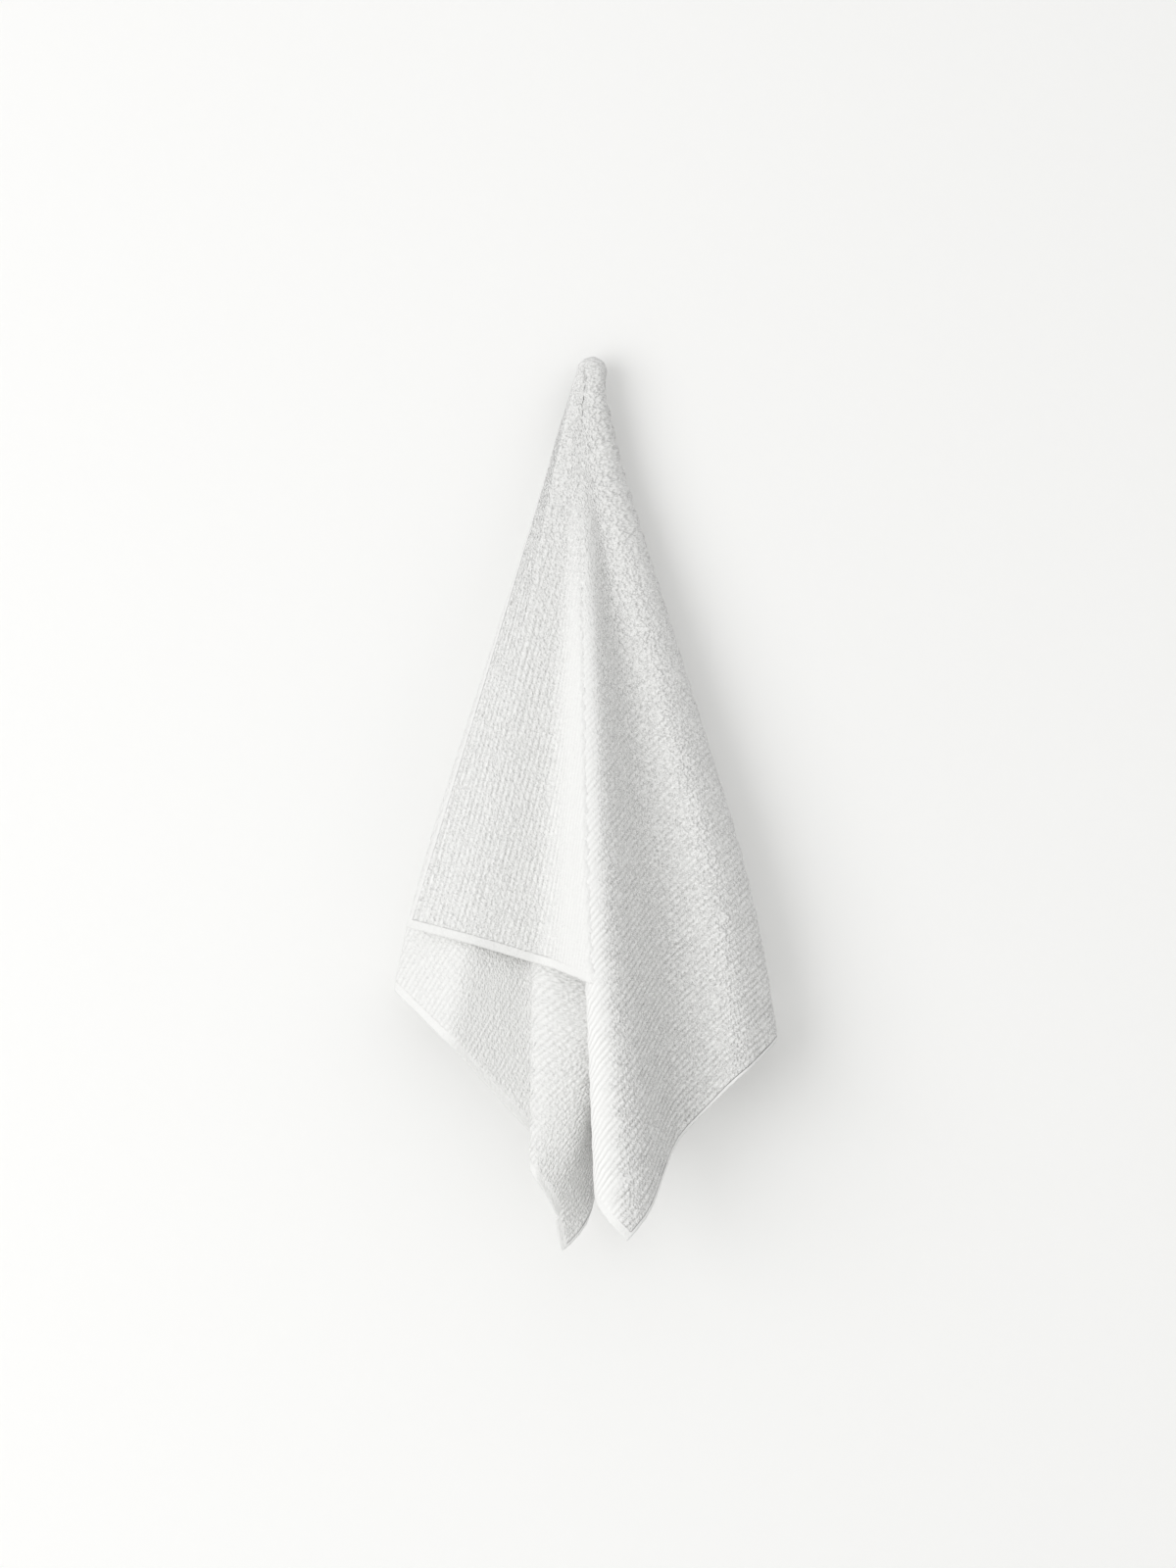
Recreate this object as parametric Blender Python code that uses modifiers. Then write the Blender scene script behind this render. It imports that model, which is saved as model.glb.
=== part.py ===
"""Hand towel hung over a peg, as one sheet of terry cloth.

The peg lifts one point of the towel, so the cloth hangs as a cone of folds from that point.
Each point of the towel has a distance from the peg point and an angle round it, both
measured on the flat cloth. Angle 0 runs along the ribs to the front hem, 90 degrees to the
far selvedge and 180 degrees to the back hem. A cross-section through the hanging cloth is a
line that bends round one roller after another, and each fold of the towel is one roller.
Metres, +Z up, front towards -Y, origin at the peg's seat under the tip.
"""

import math

import bmesh
import bpy
import numpy as np

# The towel as cut
WIDTH = 0.500
LENGTH = 0.910
THICKNESS = 0.0017

# Above this height the cloth is drawn tight round the peg, and is thinner
NECK_END = -0.120
NECK_THICKNESS = 0.0010

# The peg point on the flat towel
PEG_TO_FRONT_HEM = 0.446
PEG_TO_BACK_HEM = LENGTH - PEG_TO_FRONT_HEM
PEG_TO_NEAR_SELVEDGE = 0.014
PEG_TO_FAR_SELVEDGE = WIDTH - PEG_TO_NEAR_SELVEDGE

# The rounded tip over the peg, to the middle of the cloth
TIP_RADIUS = 0.010
TIP_HEIGHT = NECK_THICKNESS / 2

# Distances from the peg point at which the fold table gives its cross-sections
UPPER, MIDDLE, LOWER = 0.090, 0.420, 0.640

# Each row is one fold: its name, its angle on the cloth in degrees (None where its share of
# the cross-section gives it), its turn (1 to the left, -1 to the right, 0 at an edge) and
# its roller's x, y and radius in millimetres at the upper, middle and lower distance.
FOLDS = (
    ("front selvedge", None, 0, (-32, -5, 0), (-128, -41, 0), (-192, -50, 0)),
    ("left swell", None, 1, (-23, -1, 9), (-83, 8, 60), (-125, 22, 84)),
    ("left dip", None, -1, (-17, -15, 3), (-41, -64, 20), (-50, -84, 26)),
    ("front ridge", None, 1, (-8, -12.5, 5.5), (1, -80.5, 12.4), (20.5, -103, 22.4)),
    ("front edge", 20.5, 1, (-10.6, -16.2, 1), (-2.4, -91.2, 1.1), (8.3, -120.5, 1.1)),
    ("tucked roll", None, -1, (-8, -12.5, 3.5), (1, -80.5, 10.2), (20.5, -103, 20.2)),
    ("hidden pleat", None, -1, (1, -4, 1.3), (40, -30, 2), (50, -36, 2)),
    ("second ridge", None, 1, (-8, -12.5, 1.5), (1, -80.5, 8), (20.5, -103, 18)),
    ("second shoulder", 48.8, 1, (-8, -10, 4), (1, -62.5, 26), (20.5, -91, 30)),
    ("right trough", None, -1, (-1, -18, 4), (60, -62, 22), (84, -84, 24)),
    ("right ridge", None, 1, (9, -9, 6), (92, -39, 14), (118, -56, 16)),
    ("right edge", 67.5, 1, (17, -6, 5), (107.5, -26, 12), (141, -38, 12)),
    ("back fold 1", None, 1, (16, 0, 2.5), (109, 6, 5), (132, 0, 5)),
    ("inner fold 1", None, -1, (12.5, 2.5, 2), (98, -24, 5), (118, -38, 5)),
    ("back fold 2", None, 1, (10, -1, 2), (86, 8, 5), (104, 1, 5)),
    ("inner fold 2", None, -1, (7.5, 3, 2), (74, -26, 5), (88, -40, 5)),
    ("back fold 3", None, 1, (5, -0.5, 2), (62, 8, 5), (74, 0, 5)),
    ("inner fold 3", None, -1, (2.5, 3.5, 2), (49, -22, 5), (60, -30, 5)),
    ("back fold 4", None, 1, (0, 0, 2), (36, 6, 5), (44, 0, 5)),
    ("inner fold 4", None, -1, (-2.5, 4, 2), (27, -15, 5), (32, -28, 5)),
    ("back fold 5", None, 1, (-5, 0.5, 2), (16, 5, 5), (14, -22, 5)),
    ("tail back", 130.3, 1, (-7.5, 1, 1.5), (3, 2, 6), (-3, -32, 4)),
    ("tail front", 135.2, -1, (-13, 0.5, 1.5), (19, -34.5, 6), (-24, -44, 6)),
    ("tail ridge", 139.4, -1, (-15.5, 1, 1.5), (-38, -34, 5), (-40, -54, 5)),
    ("left trough", 141.9, 1, (-18.8, -0.5, 1.5), (-48, -37, 4), (-43, -44, 4)),
    ("left ridge", 152.8, -1, (-22.5, 3, 1.5), (-84, -26, 20), (-120, -45, 14)),
    ("left edge", 158.5, -1, (-26, 3.5, 2), (-120, -12, 9), (-165, -18, 9)),
    ("back bulge", None, -1, (-17, 6, 2), (-78, -6, 20), (-112, -8, 20)),
    ("back hollow", None, 1, (-8, 12, 3.5), (-30, 30, 20), (-40, 28, 20)),
    ("back selvedge", None, 0, (10, 8.5, 0), (38, 15, 0), (50, 13, 0)),
)

# How the cloth is shared out round the tip: angle on the cloth, compass angle at the peg
TIP_SHARE = (
    (-90, 90), (-11, 172), (16, 222), (40, 258), (66, 305), (90, 330), (130, 358), (182, 392),
    (270, 450),
)

# Rings about the peg point: whole ones on the tip, then open ones that end at the edges
TIP_RINGS = (0.0045, 0.009, 0.0138)
NECK_RINGS = (0.022, 0.038, 0.062, 0.095)
SKIRT_RINGS = 9
EDGE_SPREAD = 45.0

# Arcs are drawn in steps. A fold that turns this many radians the wrong way is taken the long
# way round.
ARC_STEPS = 8
WRONG_WAY = -1.0

# Spokes, in steps from the middle of each fold's arc: three round a tight fold, five round a
# wide one. None lie further apart or closer together than these angles.
WIDE_FOLD = 0.007
TIGHT_SPOKES, WIDE_SPOKES = (-4, 0, 4), (-4, -2, 0, 2, 4)
WIDEST_SPOKE = 2.5
CLOSEST_SPOKE = 0.15

# Steps in which the cloth's fall is added up, and the least fall for each step of cloth
TIP_STEPS = tuple(0.001 * k for k in range(1, 20))
DROP_STEP = 0.003
LONGEST_REACH = 0.680
LEAST_FALL = 0.3

# Angles at which the drape is worked out, all the way round from the closed slit
FULL_TURN = (-90.0, 270.0)
ANGLE_STEP = 0.25

CLOTH_COLOUR = (0.86, 0.86, 0.85, 1.0)


def heading(start, end, turn_start, turn_end):
    """Direction of the straight run of cloth between two rollers."""
    across = end[:2] - start[:2]
    offset = (turn_end * end[2] - turn_start * start[2]) / np.hypot(*across)
    return math.atan2(across[1], across[0]) - math.asin(max(-1.0, min(1.0, offset)))


def section(rollers, turns):
    """The cross-section's points, its length up to each point, and the points at the folds."""
    count = len(rollers)
    runs = [
        heading(rollers[i], rollers[i + 1], turns[i], turns[i + 1]) for i in range(count - 1)
    ]
    points = [rollers[0][:2]]
    fold_points = [0]
    for i in range(1, count - 1):
        bend = (runs[i] - runs[i - 1] + math.pi) % (2 * math.pi) - math.pi
        if bend * turns[i] < WRONG_WAY:
            bend += turns[i] * 2 * math.pi
        for k in range(ARC_STEPS + 1):
            angle = runs[i - 1] + bend * k / ARC_STEPS
            side = np.array((math.sin(angle), -math.cos(angle)))
            points.append(rollers[i][:2] + turns[i] * rollers[i][2] * side)
        fold_points.append(len(points) - 1 - ARC_STEPS // 2)
    points.append(rollers[-1][:2])
    fold_points.append(len(points) - 1)
    points = np.array(points)
    lengths = np.concatenate(([0.0], np.cumsum(np.hypot(*np.diff(points, axis=0).T))))
    return points, lengths, fold_points


def rollers_at(distance):
    """Every fold's roller at one distance from the peg point."""
    table = np.array([[row[3], row[4], row[5]] for row in FOLDS]) / 1000
    if distance <= MIDDLE:
        part = max(0.0, (distance - UPPER) / (MIDDLE - UPPER))
        return table[:, 0] + (table[:, 1] - table[:, 0]) * part
    part = (distance - MIDDLE) / (LOWER - MIDDLE)
    return table[:, 1] + (table[:, 2] - table[:, 1]) * part


def edge_angle(distance):
    """How far the cloth runs past angles 0 and 180 at one distance, up to its near selvedge."""
    return math.degrees(math.asin(min(1.0, PEG_TO_NEAR_SELVEDGE / distance)))


def reach(angle):
    """Distance from the peg point to the towel's edge."""
    radians = math.radians(angle)
    along, across = math.cos(radians), math.sin(radians)
    hem = (PEG_TO_FRONT_HEM if along > 0 else PEG_TO_BACK_HEM) / max(abs(along), 1e-9)
    far = PEG_TO_FAR_SELVEDGE if across > 0 else PEG_TO_NEAR_SELVEDGE
    return min(hem, far / max(abs(across), 1e-9))


def fold_angles():
    """Each fold's angle on the cloth, the ones left open shared out along the middle section."""
    turns = [row[2] for row in FOLDS]
    _, lengths, fold_points = section(rollers_at(MIDDLE), turns)
    along = lengths[fold_points]
    angles = [row[1] for row in FOLDS]
    angles[0] = -edge_angle(PEG_TO_FRONT_HEM)
    angles[-1] = 180 + edge_angle(PEG_TO_BACK_HEM)
    known = [i for i, angle in enumerate(angles) if angle is not None]
    return np.interp(along, along[known], [angles[i] for i in known])


def plan(distance, angles, anchors):
    """Plan positions of the cloth at one distance, for many angles on the cloth."""
    turns = [row[2] for row in FOLDS]
    points, lengths, fold_points = section(rollers_at(distance), turns)
    marks = anchors.copy()
    marks[0] = -edge_angle(max(distance, UPPER))
    marks[-1] = 180 + edge_angle(max(distance, UPPER))
    along = np.interp(angles, marks, lengths[fold_points])
    return np.column_stack([np.interp(along, lengths, points[:, axis]) for axis in (0, 1)])


def drape(angles, distances):
    """Positions of the cloth's middle, for rising distances from the peg and many angles."""
    anchors = fold_angles()
    compass = np.radians(np.interp(angles, *np.array(TIP_SHARE, float).T))
    rim = TIP_RADIUS * np.column_stack((np.cos(compass), np.sin(compass)))
    tip_end = TIP_RADIUS * math.pi / 2
    rows = []
    before = 0.0
    for distance in distances:
        if distance <= tip_end:
            swing = distance / TIP_RADIUS
            height = np.full(len(angles), TIP_HEIGHT - TIP_RADIUS * (1 - math.cos(swing)))
            rows.append(np.column_stack((rim * math.sin(swing), height)))
        else:
            part = min(1.0, (distance - tip_end) / (UPPER - tip_end))
            flat = rim + (plan(distance, angles, anchors) - rim) * part
            step = distance - before
            run = np.hypot(*(flat - rows[-1][:, :2]).T)
            fall = np.sqrt(np.maximum(step**2 - run**2, (LEAST_FALL * step) ** 2))
            rows.append(np.column_stack((flat, rows[-1][:, 2] - fall)))
        before = distance
    return np.array(rows)


def spoke_angles():
    """Angles of the mesh's spokes: several round each fold, some between, one at each corner."""
    anchors = fold_angles()
    turns = [row[2] for row in FOLDS]
    rollers = rollers_at(MIDDLE)
    _, lengths, fold_points = section(rollers, turns)
    spokes = [anchors[0], anchors[-1]]
    for i in range(1, len(FOLDS) - 1):
        for shift in WIDE_SPOKES if rollers[i][2] > WIDE_FOLD else TIGHT_SPOKES:
            spokes.append(np.interp(lengths[fold_points[i] + shift], lengths[fold_points], anchors))
    spokes.sort()
    for low, high in zip(spokes[:-1], spokes[1:]):
        extra = int((high - low) // WIDEST_SPOKE)
        spokes += [low + (high - low) * (k + 1) / (extra + 1) for k in range(extra)]
    spokes = np.array(sorted(spokes))
    for along in (PEG_TO_FRONT_HEM, -PEG_TO_BACK_HEM):
        corner = math.degrees(math.atan2(PEG_TO_FAR_SELVEDGE, along))
        spokes[np.abs(spokes - corner).argmin()] = corner
    keep = np.concatenate(([True], np.diff(spokes) > CLOSEST_SPOKE))
    return spokes[keep]


def towel_sheet():
    """The middle of the cloth as one open mesh, rings about the peg point joined by spokes."""
    spokes = spoke_angles()
    distances = np.append(TIP_STEPS, np.arange(TIP_STEPS[-1] + DROP_STEP, LONGEST_REACH, DROP_STEP))
    fine = np.arange(FULL_TURN[0], FULL_TURN[1] + ANGLE_STEP, ANGLE_STEP)
    table = drape(fine, distances)
    reaches = np.array([reach(angle) for angle in spokes])
    first_end, last_end = spokes[0], spokes[-1]
    near_first = np.clip(1 - (spokes - first_end) / EDGE_SPREAD, 0, 1) ** 2
    near_last = np.clip(1 - (last_end - spokes) / EDGE_SPREAD, 0, 1) ** 2
    sheet = bmesh.new()
    tip = sheet.verts.new((0, 0, TIP_HEIGHT))
    rings = []
    for index in range(len(TIP_RINGS) + len(NECK_RINGS) + SKIRT_RINGS):
        whole = index < len(TIP_RINGS)
        if index < len(TIP_RINGS) + len(NECK_RINGS):
            at = np.full(len(spokes), (TIP_RINGS + NECK_RINGS)[index])
        else:
            part = (index + 1 - len(TIP_RINGS) - len(NECK_RINGS)) / SKIRT_RINGS
            at = NECK_RINGS[-1] + (reaches - NECK_RINGS[-1]) * part
        slack = np.array([edge_angle(max(value, PEG_TO_NEAR_SELVEDGE)) for value in at])
        angles = spokes + near_first * (-slack - first_end) + near_last * (180 + slack - last_end)
        column = (angles - FULL_TURN[0]) / ANGLE_STEP
        row = np.interp(at, distances, np.arange(len(distances)))
        points = between(table, row, column)
        verts = [sheet.verts.new(point) for point in (points[:-1] if whole else points)]
        rings.append(verts + [verts[0]] if whole else verts)
    for k in range(len(spokes) - 1):
        sheet.faces.new((tip, rings[0][k], rings[0][k + 1]))
        for inner, outer in zip(rings[:-1], rings[1:]):
            sheet.faces.new((inner[k], outer[k], outer[k + 1], inner[k + 1]))
    bmesh.ops.recalc_face_normals(sheet, faces=sheet.faces)
    mesh = bpy.data.meshes.new("towel")
    sheet.to_mesh(mesh)
    sheet.free()
    return mesh


def between(table, row, column):
    """Values of a table at fractional rows and columns."""
    row_low = np.clip(row.astype(int), 0, table.shape[0] - 2)
    column_low = np.clip(column.astype(int), 0, table.shape[1] - 2)
    down = (row - row_low)[:, None]
    over = (column - column_low)[:, None]
    top = table[row_low, column_low] * (1 - over) + table[row_low, column_low + 1] * over
    low = table[row_low + 1, column_low] * (1 - over) + table[row_low + 1, column_low + 1] * over
    return top * (1 - down) + low * down


def cloth_material():
    """White cotton terry."""
    material = bpy.data.materials.new("white cotton terry")
    material.use_nodes = True
    shader = material.node_tree.nodes["Principled BSDF"]
    shader.inputs["Base Color"].default_value = CLOTH_COLOUR
    shader.inputs["Roughness"].default_value = 0.95
    shader.inputs["Metallic"].default_value = 0.0
    return material


def main():
    for thing in list(bpy.data.objects):
        bpy.data.objects.remove(thing, do_unlink=True)
    collection = bpy.data.collections.new("hand towel")
    bpy.context.scene.collection.children.link(collection)
    mesh = towel_sheet()
    mesh.materials.append(cloth_material())
    towel = bpy.data.objects.new("towel", mesh)
    collection.objects.link(towel)
    shell = towel.modifiers.new("Cloth thickness", "SOLIDIFY")
    shell.thickness = THICKNESS
    shell.offset = 0.0
    below_neck = towel.vertex_groups.new(name="below the neck")
    below_neck.add([v.index for v in mesh.vertices if v.co.z < NECK_END], 1.0, "REPLACE")
    shell.vertex_group = below_neck.name
    shell.thickness_vertex_group = NECK_THICKNESS / THICKNESS
    mesh.shade_smooth()


main()
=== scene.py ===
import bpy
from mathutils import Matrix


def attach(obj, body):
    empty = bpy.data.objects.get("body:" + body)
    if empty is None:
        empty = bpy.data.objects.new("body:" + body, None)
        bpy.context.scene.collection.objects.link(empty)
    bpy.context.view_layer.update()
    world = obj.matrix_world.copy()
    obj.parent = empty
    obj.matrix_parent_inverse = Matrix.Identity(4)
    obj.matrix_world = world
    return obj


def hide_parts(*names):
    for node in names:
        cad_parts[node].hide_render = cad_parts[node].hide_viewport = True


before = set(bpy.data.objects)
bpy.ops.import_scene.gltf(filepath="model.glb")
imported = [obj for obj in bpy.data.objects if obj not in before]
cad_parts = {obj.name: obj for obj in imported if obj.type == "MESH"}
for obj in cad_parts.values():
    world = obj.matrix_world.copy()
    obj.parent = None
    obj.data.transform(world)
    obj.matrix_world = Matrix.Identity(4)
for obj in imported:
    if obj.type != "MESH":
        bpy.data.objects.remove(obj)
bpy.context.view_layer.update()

import math

import bmesh
import bpy
import numpy as np
from mathutils import Matrix, Vector, noise

# THE CLOTH
# A hand towel of white cotton terry, woven in one piece: ribs of loops along its length, a
# smooth hem band at each short end and a narrow smooth selvedge down each long side. It hangs
# from one point near the middle of a selvedge, so it falls as a cone of deep folds.

WIDTH, LENGTH = 0.500, 0.910
THICKNESS = 0.0028

# Across the cloth: a selvedge, the ribs, a selvedge. Along it: a hem band, the terry, a band.
RIBS = 115
SELVEDGE = 0.0027
HEM_BAND = 0.0070
RIB_PITCH = (WIDTH - 2 * SELVEDGE) / RIBS

# The columns and rows of the mesh. The rows are closest beside the peg.
COLUMNS_PER_RIB = 4
SELVEDGE_COLUMNS = (0.0, 0.0011, 0.0022)
HEM_ROWS = (0.0, 0.0016, 0.0040, 0.0062, 0.0072)
AFTER_HEM = 0.003
CLOSEST_ROW, WIDEST_ROW = 0.0053, 0.0137
WIDEST_FROM = 0.36

# Where the cloth hangs from, on the flat towel
PEG_ACROSS, PEG_ALONG = 0.014, 0.446


def grid_stations():
    """Where the columns lie across the flat cloth, and the rows along it."""
    ribs = SELVEDGE + RIB_PITCH * np.arange(RIBS * COLUMNS_PER_RIB + 1) / COLUMNS_PER_RIB
    edge = np.array(SELVEDGE_COLUMNS)
    across = np.concatenate((edge, ribs, WIDTH - edge[::-1]))
    rows = [HEM_ROWS[-1] + AFTER_HEM]
    last = LENGTH - HEM_ROWS[-1] - AFTER_HEM
    while rows[-1] < last:
        away = min(1.0, abs(rows[-1] - PEG_ALONG) / WIDEST_FROM)
        rows.append(rows[-1] + CLOSEST_ROW + (WIDEST_ROW - CLOSEST_ROW) * away)
    rows = rows[0] + (np.array(rows) - rows[0]) * (last - rows[0]) / (rows[-1] - rows[0])
    hem = np.array(HEM_ROWS)
    return across, np.concatenate((hem, rows, LENGTH - hem[::-1]))


# Each row is one fold: its name, its angle on the cloth in degrees (None where its share of
# the cross-section gives it), its turn (1 to the left, -1 to the right, 0 at an edge) and
# its bend's centre x, y and radius in millimetres, 90, 420 and 640 mm from the peg point.
FOLD_DISTANCES = (0.090, 0.420, 0.640)
FOLDS = (
    ("front selvedge", None, 0, (-32, -5, 0), (-128, -41, 0), (-192, -50, 0)),
    ("left swell", None, 1, (-23, -1, 9), (-83, 8, 60), (-125, 22, 84)),
    ("left dip", None, -1, (-17, -15, 3), (-41, -64, 20), (-50, -84, 26)),
    ("front ridge", None, 1, (-9.4, -13, 1), (-2.1, -83.1, 5), (12.5, -107.6, 10)),
    ("front edge", 20.5, 1, (-7.6, -13.3, 0.3), (1.6, -86.3, 0.35), (15, -114.5, 0.35)),
    ("tucked roll", None, -1, (-8, -12.5, 0.4), (1, -80.5, 4.8), (20.5, -103, 11.5)),
    ("hidden pleat", None, -1, (1, -4, 1.3), (40, -30, 2), (50, -36, 2)),
    ("second ridge", None, 1, (-8, -12.5, 1.5), (1, -80.5, 8), (20.5, -103, 18)),
    ("second shoulder", 48.8, 1, (-8, -10, 4), (1, -62.5, 26), (20.5, -91, 30)),
    ("right trough", None, -1, (-1, -18, 4), (60, -62, 22), (84, -84, 24)),
    ("right ridge", None, 1, (9, -9, 6), (92, -39, 14), (118, -56, 16)),
    ("right edge", 67.5, 1, (17, -6, 5), (107.5, -26, 12), (141, -38, 12)),
    ("back fold 1", None, 1, (16, 0, 2.5), (109, 6, 5), (132, 0, 5)),
    ("inner fold 1", None, -1, (12.5, 2.5, 2), (98, -24, 5), (118, -38, 5)),
    ("back fold 2", None, 1, (10, -1, 2), (86, 8, 5), (104, 1, 5)),
    ("inner fold 2", None, -1, (7.5, 3, 2), (74, -26, 5), (88, -40, 5)),
    ("back fold 3", None, 1, (5, -0.5, 2), (62, 8, 5), (74, 0, 5)),
    ("inner fold 3", None, -1, (2.5, 3.5, 2), (49, -22, 5), (60, -30, 5)),
    ("back fold 4", None, 1, (0, 0, 2), (36, 6, 5), (44, 0, 5)),
    ("inner fold 4", None, -1, (-2.5, 4, 2), (27, -15, 5), (32, -28, 5)),
    ("back fold 5", None, 1, (-5, 0.5, 2), (16, 5, 5), (14, -22, 5)),
    ("tail back", 130.3, 1, (-7.5, 1, 1.5), (3, -4, 6), (2, -40, 4)),
    ("tail front", 135.2, -1, (-13, 0.5, 1.5), (28, -46, 6), (-25, -45, 6)),
    ("tail ridge", 139.4, -1, (-15.5, 1, 1.5), (-38, -34, 5), (-40, -54, 5)),
    ("left trough", 141.9, 1, (-18.8, -0.5, 1.5), (-48, -37, 4), (-43, -44, 4)),
    ("left ridge", 151.4, -1, (-22.5, 3, 1.5), (-84, -26, 20), (-120, -45, 14)),
    ("left edge", 158.5, -1, (-26, 3.5, 2), (-120, -12, 9), (-165, -18, 9)),
    ("back bulge", None, -1, (-17, 6, 2), (-78, -6, 20), (-112, -8, 20)),
    ("back hollow", None, 1, (-8, 12, 3.5), (-30, 30, 20), (-40, 28, 20)),
    ("back selvedge", None, 0, (10, 8.5, 0), (38, 15, 0), (50, 13, 0)),
)
TURNS = [fold[2] for fold in FOLDS]
BEND_STEPS = 16
BLEND = 0.070

# The rounded tip over the peg, and how the cloth is shared out round it: angle on the cloth,
# compass angle at the peg.
TIP_RADIUS = 0.010
TIP_TOP = 0.00125
TIP_SHARE = (
    (-90, 90), (-11, 172), (20.5, 233), (45.5, 245), (66, 300), (90, 330), (130, 358), (182, 392),
    (270, 450),
)

# The drape is worked out on rings round the peg point, every 1.5 mm out to past the far corner
# and every tenth of a degree. From ring to ring the cloth falls by at least this share.
FALL_STEP, LONGEST_REACH = 0.0015, 0.68
FIRST_ANGLE, LAST_ANGLE, ANGLE_STEP = -90, 270, 0.1
LEAST_FALL = 0.3

# The front panel ends in a sharp fold that lies flat on the cloth beside it: the fold's angle
# on the cloth, the pressed strip's spread to each side of it in degrees, the last angle of the
# cloth beside it, and how far past the fold that cloth is pressed too.
PRESSED_ANGLE, PRESSED_SPREAD = 20.5, 4.0
BESIDE_ANGLE = 56.0
PRESSED_PAST, PRESSED_FADE = -0.0036, 0.003


def cross_section(bends):
    """A level cut through the hanging cloth: its points, their lengths along it, its folds."""
    headings = []
    for i in range(len(bends) - 1):
        step = bends[i + 1][:2] - bends[i][:2]
        offset = (TURNS[i + 1] * bends[i + 1][2] - TURNS[i] * bends[i][2]) / np.hypot(*step)
        headings.append(math.atan2(step[1], step[0]) - math.asin(max(-1, min(1, offset))))
    points, folds = [bends[0][:2]], [0]
    for i in range(1, len(bends) - 1):
        bend = (headings[i] - headings[i - 1] + math.pi) % math.tau - math.pi
        if bend * TURNS[i] < -1:
            bend += TURNS[i] * math.tau
        for k in range(BEND_STEPS + 1):
            angle = headings[i - 1] + bend * k / BEND_STEPS
            out = np.array((math.sin(angle), -math.cos(angle)))
            points.append(bends[i][:2] + TURNS[i] * bends[i][2] * out)
        folds.append(len(points) - 1 - BEND_STEPS // 2)
    points = np.array(points + [bends[-1][:2]])
    folds.append(len(points) - 1)
    lengths = np.append(0, np.cumsum(np.hypot(*np.diff(points, axis=0).T)))
    return points, lengths, folds


def bends_at(distance):
    """Every fold's bend at one distance from the peg point, changing smoothly with it."""
    table = np.array([fold[3:] for fold in FOLDS]) / 1000
    near, middle, far = FOLD_DISTANCES
    upper = (table[:, 1] - table[:, 0]) / (middle - near)
    lower = (table[:, 2] - table[:, 1]) / (far - middle)
    past = distance - middle
    change = max(0.0, past - BLEND) + (max(-BLEND, min(BLEND, past)) + BLEND) ** 2 / (4 * BLEND)
    return table[:, 1] + upper * (max(distance, near) - middle) + (lower - upper) * change


def selvedge_angle(distance):
    """How far the cloth runs past angles 0 and 180 to its near selvedge, in degrees."""
    return math.degrees(math.asin(min(1.0, PEG_ACROSS / distance)))


def fold_angles():
    """Each fold's angle on the cloth."""
    _, lengths, folds = cross_section(bends_at(FOLD_DISTANCES[1]))
    angles = [fold[1] for fold in FOLDS]
    angles[0], angles[-1] = -selvedge_angle(PEG_ALONG), 180 + selvedge_angle(LENGTH - PEG_ALONG)
    known = [i for i, angle in enumerate(angles) if angle is not None]
    return np.interp(lengths[folds], lengths[folds][known], [angles[i] for i in known])


def hang(angles, distances):
    """Places of the cloth's middle, for rising distances from the peg and many angles."""
    anchors = fold_angles()
    compass = np.radians(np.interp(angles, *np.array(TIP_SHARE, float).T))
    rim = TIP_RADIUS * np.column_stack((np.cos(compass), np.sin(compass)))
    tip_end = TIP_RADIUS * math.pi / 2
    rows = []
    for distance, before in zip(distances, [0] + list(distances)):
        if distance <= tip_end:
            swing = distance / TIP_RADIUS
            height = np.full(len(angles), TIP_TOP - TIP_RADIUS * (1 - math.cos(swing)))
            rows.append(np.column_stack((rim * math.sin(swing), height)))
            continue
        points, lengths, folds = cross_section(bends_at(distance))
        marks = anchors.copy()
        marks[0] = -selvedge_angle(max(distance, FOLD_DISTANCES[0]))
        marks[-1] = 180 - marks[0]
        along = np.interp(angles, marks, lengths[folds])
        plan = np.column_stack([np.interp(along, lengths, points[:, i]) for i in (0, 1)])
        share = min(1.0, (distance - tip_end) / (FOLD_DISTANCES[0] - tip_end))
        level = rim + (plan - rim) * share
        step = distance - before
        run = np.hypot(*(level - rows[-1][:, :2]).T)
        fall = np.sqrt(np.maximum(step**2 - run**2, (LEAST_FALL * step) ** 2))
        rows.append(np.column_stack((level, rows[-1][:, 2] - fall)))
    return np.array(rows)


def between(table, row, column):
    """Values of a table at fractional rows and columns."""
    row = np.clip(row, 0, table.shape[0] - 1.001)
    column = np.clip(column, 0, table.shape[1] - 1.001)
    i, j = row.astype(int), column.astype(int)
    down, over = (row - i)[:, None], (column - j)[:, None]
    top = table[i, j] * (1 - over) + table[i, j + 1] * over
    low = table[i + 1, j] * (1 - over) + table[i + 1, j + 1] * over
    return top * (1 - down) + low * down


# The flat cloth is a grid, whose points are known by their column and row.
across, along = grid_stations()
sheet = bmesh.new()
bmesh.ops.create_grid(
    sheet, x_segments=len(across) - 1, y_segments=len(along) - 1, size=0.5, calc_uvs=False
)
square = np.array([vertex.co[:2] for vertex in sheet.verts]) + 0.5
column = np.rint(square[:, 0] * (len(across) - 1)).astype(int)
row = np.rint(square[:, 1] * (len(along) - 1)).astype(int)
u, v = across[column], along[row]

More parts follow.
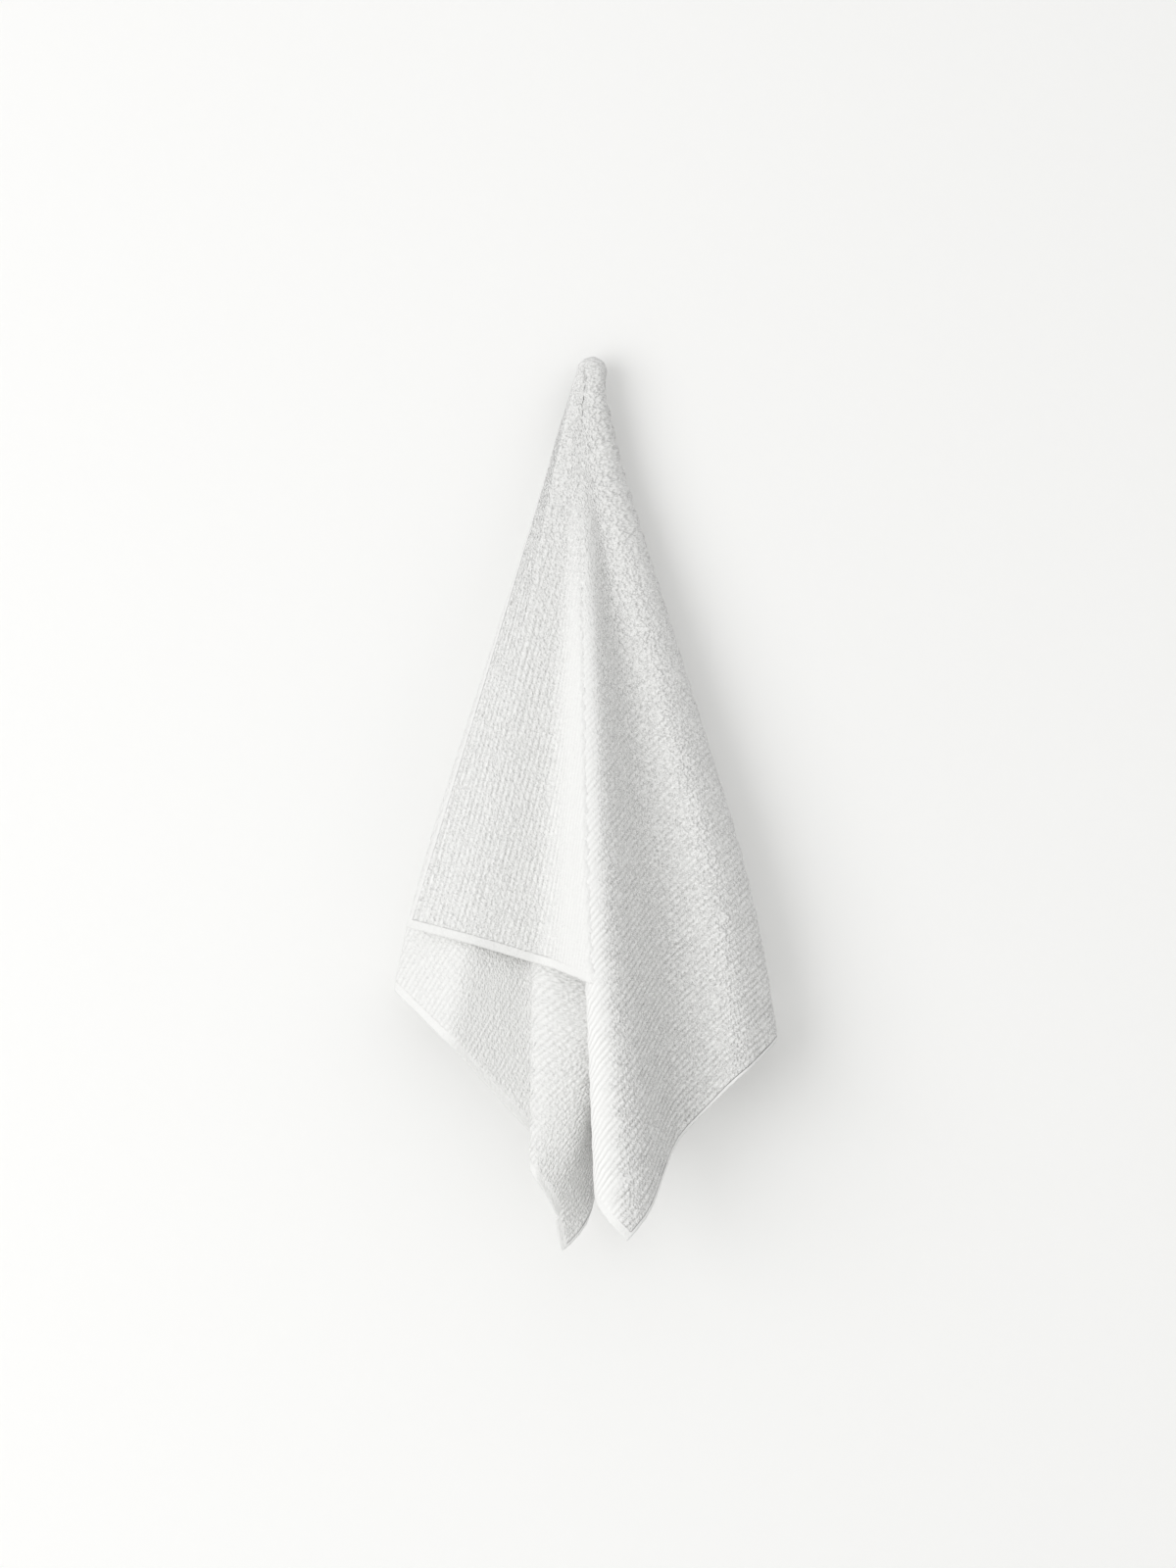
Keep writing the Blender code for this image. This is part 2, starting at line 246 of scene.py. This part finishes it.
# Each point keeps its distance from the peg point and its angle on the cloth as it hangs.
distances = np.arange(FALL_STEP, LONGEST_REACH, FALL_STEP)
angles = np.arange(FIRST_ANGLE, LAST_ANGLE + ANGLE_STEP / 2, ANGLE_STEP)
drape = np.concatenate((np.full((1, len(angles), 3), (0, 0, TIP_TOP)), hang(angles, distances)))
reach = np.hypot(u - PEG_ACROSS, v - PEG_ALONG)
turn = np.degrees(np.arctan2(u - PEG_ACROSS, PEG_ALONG - v))
turn[turn < FIRST_ANGLE] += 360
places = between(drape, reach / FALL_STEP, (turn - FIRST_ANGLE) / ANGLE_STEP)

# How high the cloth stands, as shares of its thickness. The ribs stand up from both faces,
# with a narrow groove between each two, and their loops are a little uneven. Near the peg the
# pull draws them flat. The bands and selvedges are woven without loops, so they are thin and
# smooth. Unevenness comes as waves a metre, across the cloth and along it.
TERRY_LOFT, BAND_LOFT, PRESSED_LOFT = 0.95, 0.5, 0.4
RIB_DEPTH, LEAST_RIB, MEAN_RIB = 0.72, 0.08, 0.62
RIB_WANDER, WANDER_WAVES = 0.25 * RIB_PITCH, (90.0, 35.0)
RIB_STRENGTH, STRENGTH_SWING, STRENGTH_WAVES = 0.85, 0.9, (95.0, 60.0)
WEAKEST_RIB, STRONGEST_RIB = 0.3, 1.15
FLUFF_HEIGHT, FLUFF_WAVES = 0.16, (210.0, 210.0)

# How far from the peg the ribs begin and where they are full, by angle on the cloth
RIBS_START = ((0, 0.04), (16, 0.06), (45, 0.10))
RIBS_FULL = ((0, 0.22), (16, 0.30), (45, 0.52))

# How strong the nap is, by angle on the cloth: flattened along the pressed fold, though not
# near the peg, and weaker on the tail and the back left panel. It is laid down beside the fold
# too, and the bands have little.
NAP = (
    (-12, 0.75), (11, 0.75), (16, 0.25), (24, 0.25), (45, 1.1), (128, 1.1), (132, 0.7), (141, 0.5),
)
NAP_FADE, NAP_LAID = 0.009, 0.85
BAND_NAP = 0.2
PRESSED_FROM, PRESSED_BY = 0.06, 0.24


def cloud(waves):
    """Smooth noise over the flat cloth, with this many waves a metre each way."""
    return np.array([noise.noise((a * waves[0], b * waves[1], 0.0)) for a, b in zip(u, v)])


def by_angle(table):
    """A table's values at each point's angle on the cloth."""
    return np.interp(turn, *np.array(table).T)


rib_phase = (u - SELVEDGE + RIB_WANDER * cloud(WANDER_WAVES)) / RIB_PITCH
rib_profile = np.abs(np.sin(math.pi * rib_phase))
starts, fulls = by_angle(RIBS_START), by_angle(RIBS_FULL)
pressed = np.clip((reach - PRESSED_FROM) / (PRESSED_BY - PRESSED_FROM), 0, 1)
nap = 1 + (by_angle(NAP) - 1) * pressed
strength = RIB_STRENGTH + STRENGTH_SWING * cloud(STRENGTH_WAVES)
rib_depth = RIB_DEPTH * np.clip((reach - starts) / (fulls - starts), LEAST_RIB, 1)
rib_depth *= np.clip(strength, WEAKEST_RIB, STRONGEST_RIB) * np.minimum(nap, 1)
terry = (u > SELVEDGE) & (u < WIDTH - SELVEDGE) & (v > HEM_BAND) & (v < LENGTH - HEM_BAND)
fluff = FLUFF_HEIGHT * cloud(FLUFF_WAVES)
loft = np.where(terry, TERRY_LOFT - rib_depth * (1 - rib_profile) + fluff, BAND_LOFT)

fold_column = np.full_like(reach, (PRESSED_ANGLE - FIRST_ANGLE) / ANGLE_STEP)
right_of_fold = places[:, 0] - between(drape, reach / FALL_STEP, fold_column)[:, 0]
clear_of_fold = np.clip((right_of_fold - PRESSED_PAST) / PRESSED_FADE, 0, 1)
at_fold = np.exp(-(np.abs(turn - PRESSED_ANGLE) / PRESSED_SPREAD) ** 4)
beside = (turn > PRESSED_ANGLE + PRESSED_SPREAD) & (turn < BESIDE_ANGLE)
loft *= 1 - (1 - PRESSED_LOFT) * np.where(beside, 1 - clear_of_fold, at_fold)
laid = np.clip(right_of_fold / NAP_FADE, 1 - NAP_LAID * pressed, 1)
nap *= np.where(beside, laid, 1)

for vertex, place in zip(sheet.verts, places):
    vertex.co = place
uv_layer = sheet.loops.layers.uv.new("flat")
for face in sheet.faces:
    for loop in face.loops:
        index = loop.vert.index
        loop[uv_layer].uv = (u[index], v[index])
    face.smooth = True
mesh = bpy.data.meshes.new("towel_cloth")
sheet.to_mesh(mesh)
sheet.free()
cloth = bpy.data.objects.new("towel_cloth", mesh)
bpy.context.scene.collection.objects.link(cloth)

loft_group = cloth.vertex_groups.new(name="loft")
loft = np.round(loft, 3)
for level in np.unique(loft):
    loft_group.add([int(i) for i in np.flatnonzero(loft == level)], float(level), "REPLACE")
shell = cloth.modifiers.new("cloth thickness", "SOLIDIFY")
shell.thickness = THICKNESS
shell.offset = 0.0
shell.vertex_group = "loft"

# The material reads each point's place on its rib, which paints shade darker down the
# grooves (the bands get the ribs' mean of it), and the nap's strength at each point.
groove_shade_mix = MEAN_RIB + rib_depth / RIB_DEPTH * (rib_profile - MEAN_RIB)
for name, values in (
    ("rib_shade_mix", np.where(terry, groove_shade_mix, MEAN_RIB)),
    ("nap", np.where(terry, nap, BAND_NAP)),
):
    layer = mesh.attributes.new(name, "FLOAT", "POINT")
    layer.data.foreach_set("value", values.astype(np.float32))


def linear(code):
    """A colour's sRGB hex code as linear red, green and blue with full alpha."""
    values = [int(code[i : i + 2], 16) / 255 for i in (0, 2, 4)]
    return [c / 12.92 if c <= 0.04045 else ((c + 0.055) / 1.055) ** 2.4 for c in values] + [1.0]


def node(tree, kind, settings=None, **inputs):
    """Adds a node with its settings, and sets or links its inputs by name or number."""
    made = tree.nodes.new(kind)
    for name, value in (settings or {}).items():
        setattr(made, name, value)
    for name, value in inputs.items():
        key = int(name[1:]) if name[1:].isdigit() else name.replace("_", " ")
        if isinstance(value, bpy.types.NodeSocket):
            tree.links.new(value, made.inputs[key])
        else:
            made.inputs[key].default_value = value
    return made


# White cotton terry, bleached and unsoftened: every rib is a row of small loops, so the
# surface is quite matt and breaks up into fine grains. The grooves are painted a little darker,
# as painted shade. The loops' heads are about 2 mm apart and the nap waves over about 4 mm.
GROOVE_SHADE_COLOUR, RIB_COLOUR = "DEDEDC", "FCFCFB"
LOOPS_A_METRE, NAP_WAVES_A_METRE = 520.0, 260.0
LOOP_HEIGHT = 0.0019

terry_cotton = bpy.data.materials.new("white cotton terry")
terry_cotton.use_nodes = True
tree = terry_cotton.node_tree
tree.nodes.clear()
flat_map = node(tree, "ShaderNodeUVMap", {"uv_map": "flat"})
rib_shade_mix = node(tree, "ShaderNodeAttribute", {"attribute_name": "rib_shade_mix"})
nap_strength = node(tree, "ShaderNodeAttribute", {"attribute_name": "nap"})
# Painted shade: the darker groove colour is mixed in down each groove
painted_groove_shade = node(
    tree, "ShaderNodeMix", {"data_type": "RGBA"}, _0=rib_shade_mix.outputs["Fac"],
    _6=linear(GROOVE_SHADE_COLOUR), _7=linear(RIB_COLOUR),
)
loops = node(
    tree, "ShaderNodeTexVoronoi", {"feature": "SMOOTH_F1"}, Vector=flat_map.outputs["UV"],
    Scale=LOOPS_A_METRE, Smoothness=0.5,
)
fuzz = node(
    tree, "ShaderNodeTexNoise", None, Vector=flat_map.outputs["UV"], Scale=NAP_WAVES_A_METRE,
    Detail=4.0,
)
relief = node(
    tree, "ShaderNodeMath", {"operation": "ADD"}, _0=loops.outputs["Distance"],
    _1=fuzz.outputs["Fac"],
)
raised = node(
    tree, "ShaderNodeMath", {"operation": "MULTIPLY"}, _0=relief.outputs["Value"],
    _1=nap_strength.outputs["Fac"],
)
bump = node(
    tree, "ShaderNodeBump", None, Height=raised.outputs["Value"], Strength=1.0,
    Distance=LOOP_HEIGHT,
)
finish = node(
    tree, "ShaderNodeBsdfPrincipled", None, Base_Color=painted_groove_shade.outputs[2], Roughness=0.95,
    Normal=bump.outputs["Normal"], Sheen_Weight=0.15, Sheen_Roughness=0.6,
    Specular_IOR_Level=0.2,
)
node(tree, "ShaderNodeOutputMaterial", None, Surface=finish.outputs["BSDF"])
mesh.materials.append(terry_cotton)

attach(cloth, "root")
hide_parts("towel")

# THE STAGE
# A pale floor well below the towel and a pale wall behind it, which shows from the front only
# and neither shades the towel nor sends light on. Soft light comes from the left and all
# round, and the camera is straight in front.

FLOOR_HEIGHT, FLOOR_REACH = -2.10, 30.0
FLOOR_COLOUR = "F0F0EE"
WALL_DEPTH, WALL_REACH = 0.020, 1.1
WALL_COLOUR = "FBFBFA"
LIGHT_SIZE, LIGHT_POWER, WORLD_LIGHT = 3.6, 62.0, 0.74
LIGHT_PLACE, LIGHT_AIM = (-2.7, -3.0, -0.33), (0, 0, -0.33)
CAMERA_ACROSS, CAMERA_DISTANCE, CAMERA_HEIGHT = -0.0029, 3.6, -0.3136
FRAME_HEIGHT = 1.160
SENSOR = 36.0


def board(name, half_side, place):
    """A flat square board, laid or stood up by the matrix of its place."""
    shape = bmesh.new()
    bmesh.ops.create_grid(shape, x_segments=1, y_segments=1, size=half_side, matrix=place)
    board_mesh = bpy.data.meshes.new(name)
    shape.to_mesh(board_mesh)
    shape.free()
    made = bpy.data.objects.new(name, board_mesh)
    bpy.context.scene.collection.objects.link(made)
    return made


floor = board("floor", FLOOR_REACH, Matrix.Translation((0, 0, FLOOR_HEIGHT)))
floor_paint = bpy.data.materials.new("pale matt paint")
floor_paint.use_nodes = True
floor_finish = floor_paint.node_tree.nodes["Principled BSDF"]
floor_finish.inputs["Base Color"].default_value = linear(FLOOR_COLOUR)
floor_finish.inputs["Roughness"].default_value = 0.9
floor.data.materials.append(floor_paint)

upright = Matrix.Rotation(math.pi / 2, 4, "X")
wall = board("wall", WALL_REACH, Matrix.Translation((0, WALL_DEPTH, 0)) @ upright)
wall.visible_diffuse = False
wall.visible_shadow = False
wall_paint = bpy.data.materials.new("white wall paint")
wall_paint.use_nodes = True
paint = wall_paint.node_tree
paint.nodes.clear()
side = node(paint, "ShaderNodeNewGeometry")
flat_paint = node(paint, "ShaderNodeBsdfDiffuse", None, Color=linear(WALL_COLOUR))
clear = node(paint, "ShaderNodeBsdfTransparent")
one_way = node(
    paint, "ShaderNodeMixShader", None, _0=side.outputs["Backfacing"],
    _1=flat_paint.outputs["BSDF"], _2=clear.outputs["BSDF"],
)
node(paint, "ShaderNodeOutputMaterial", None, Surface=one_way.outputs["Shader"])
wall.data.materials.append(wall_paint)

key_light = bpy.data.lights.new("key", "AREA")
key_light.shape = "DISK"
key_light.size = LIGHT_SIZE
key_light.energy = LIGHT_POWER
key = bpy.data.objects.new("key", key_light)
bpy.context.scene.collection.objects.link(key)
key.location = LIGHT_PLACE
aim = Vector(LIGHT_AIM) - Vector(LIGHT_PLACE)
key.rotation_euler = aim.to_track_quat("-Z", "Y").to_euler()

world = bpy.data.worlds.new("studio")
bpy.context.scene.world = world
world.use_nodes = True
world.node_tree.nodes["Background"].inputs["Color"].default_value = linear("FFFFFF")
world.node_tree.nodes["Background"].inputs["Strength"].default_value = WORLD_LIGHT

camera_data = bpy.data.cameras.new("camera")
camera_data.sensor_width = SENSOR
camera_data.lens = SENSOR * CAMERA_DISTANCE / FRAME_HEIGHT
camera = bpy.data.objects.new("camera", camera_data)
bpy.context.scene.collection.objects.link(camera)
camera.location = (CAMERA_ACROSS, -CAMERA_DISTANCE, CAMERA_HEIGHT)
camera.rotation_euler = (math.pi / 2, 0, 0)
bpy.context.scene.camera = camera
bpy.context.scene.view_settings.view_transform = "Standard"
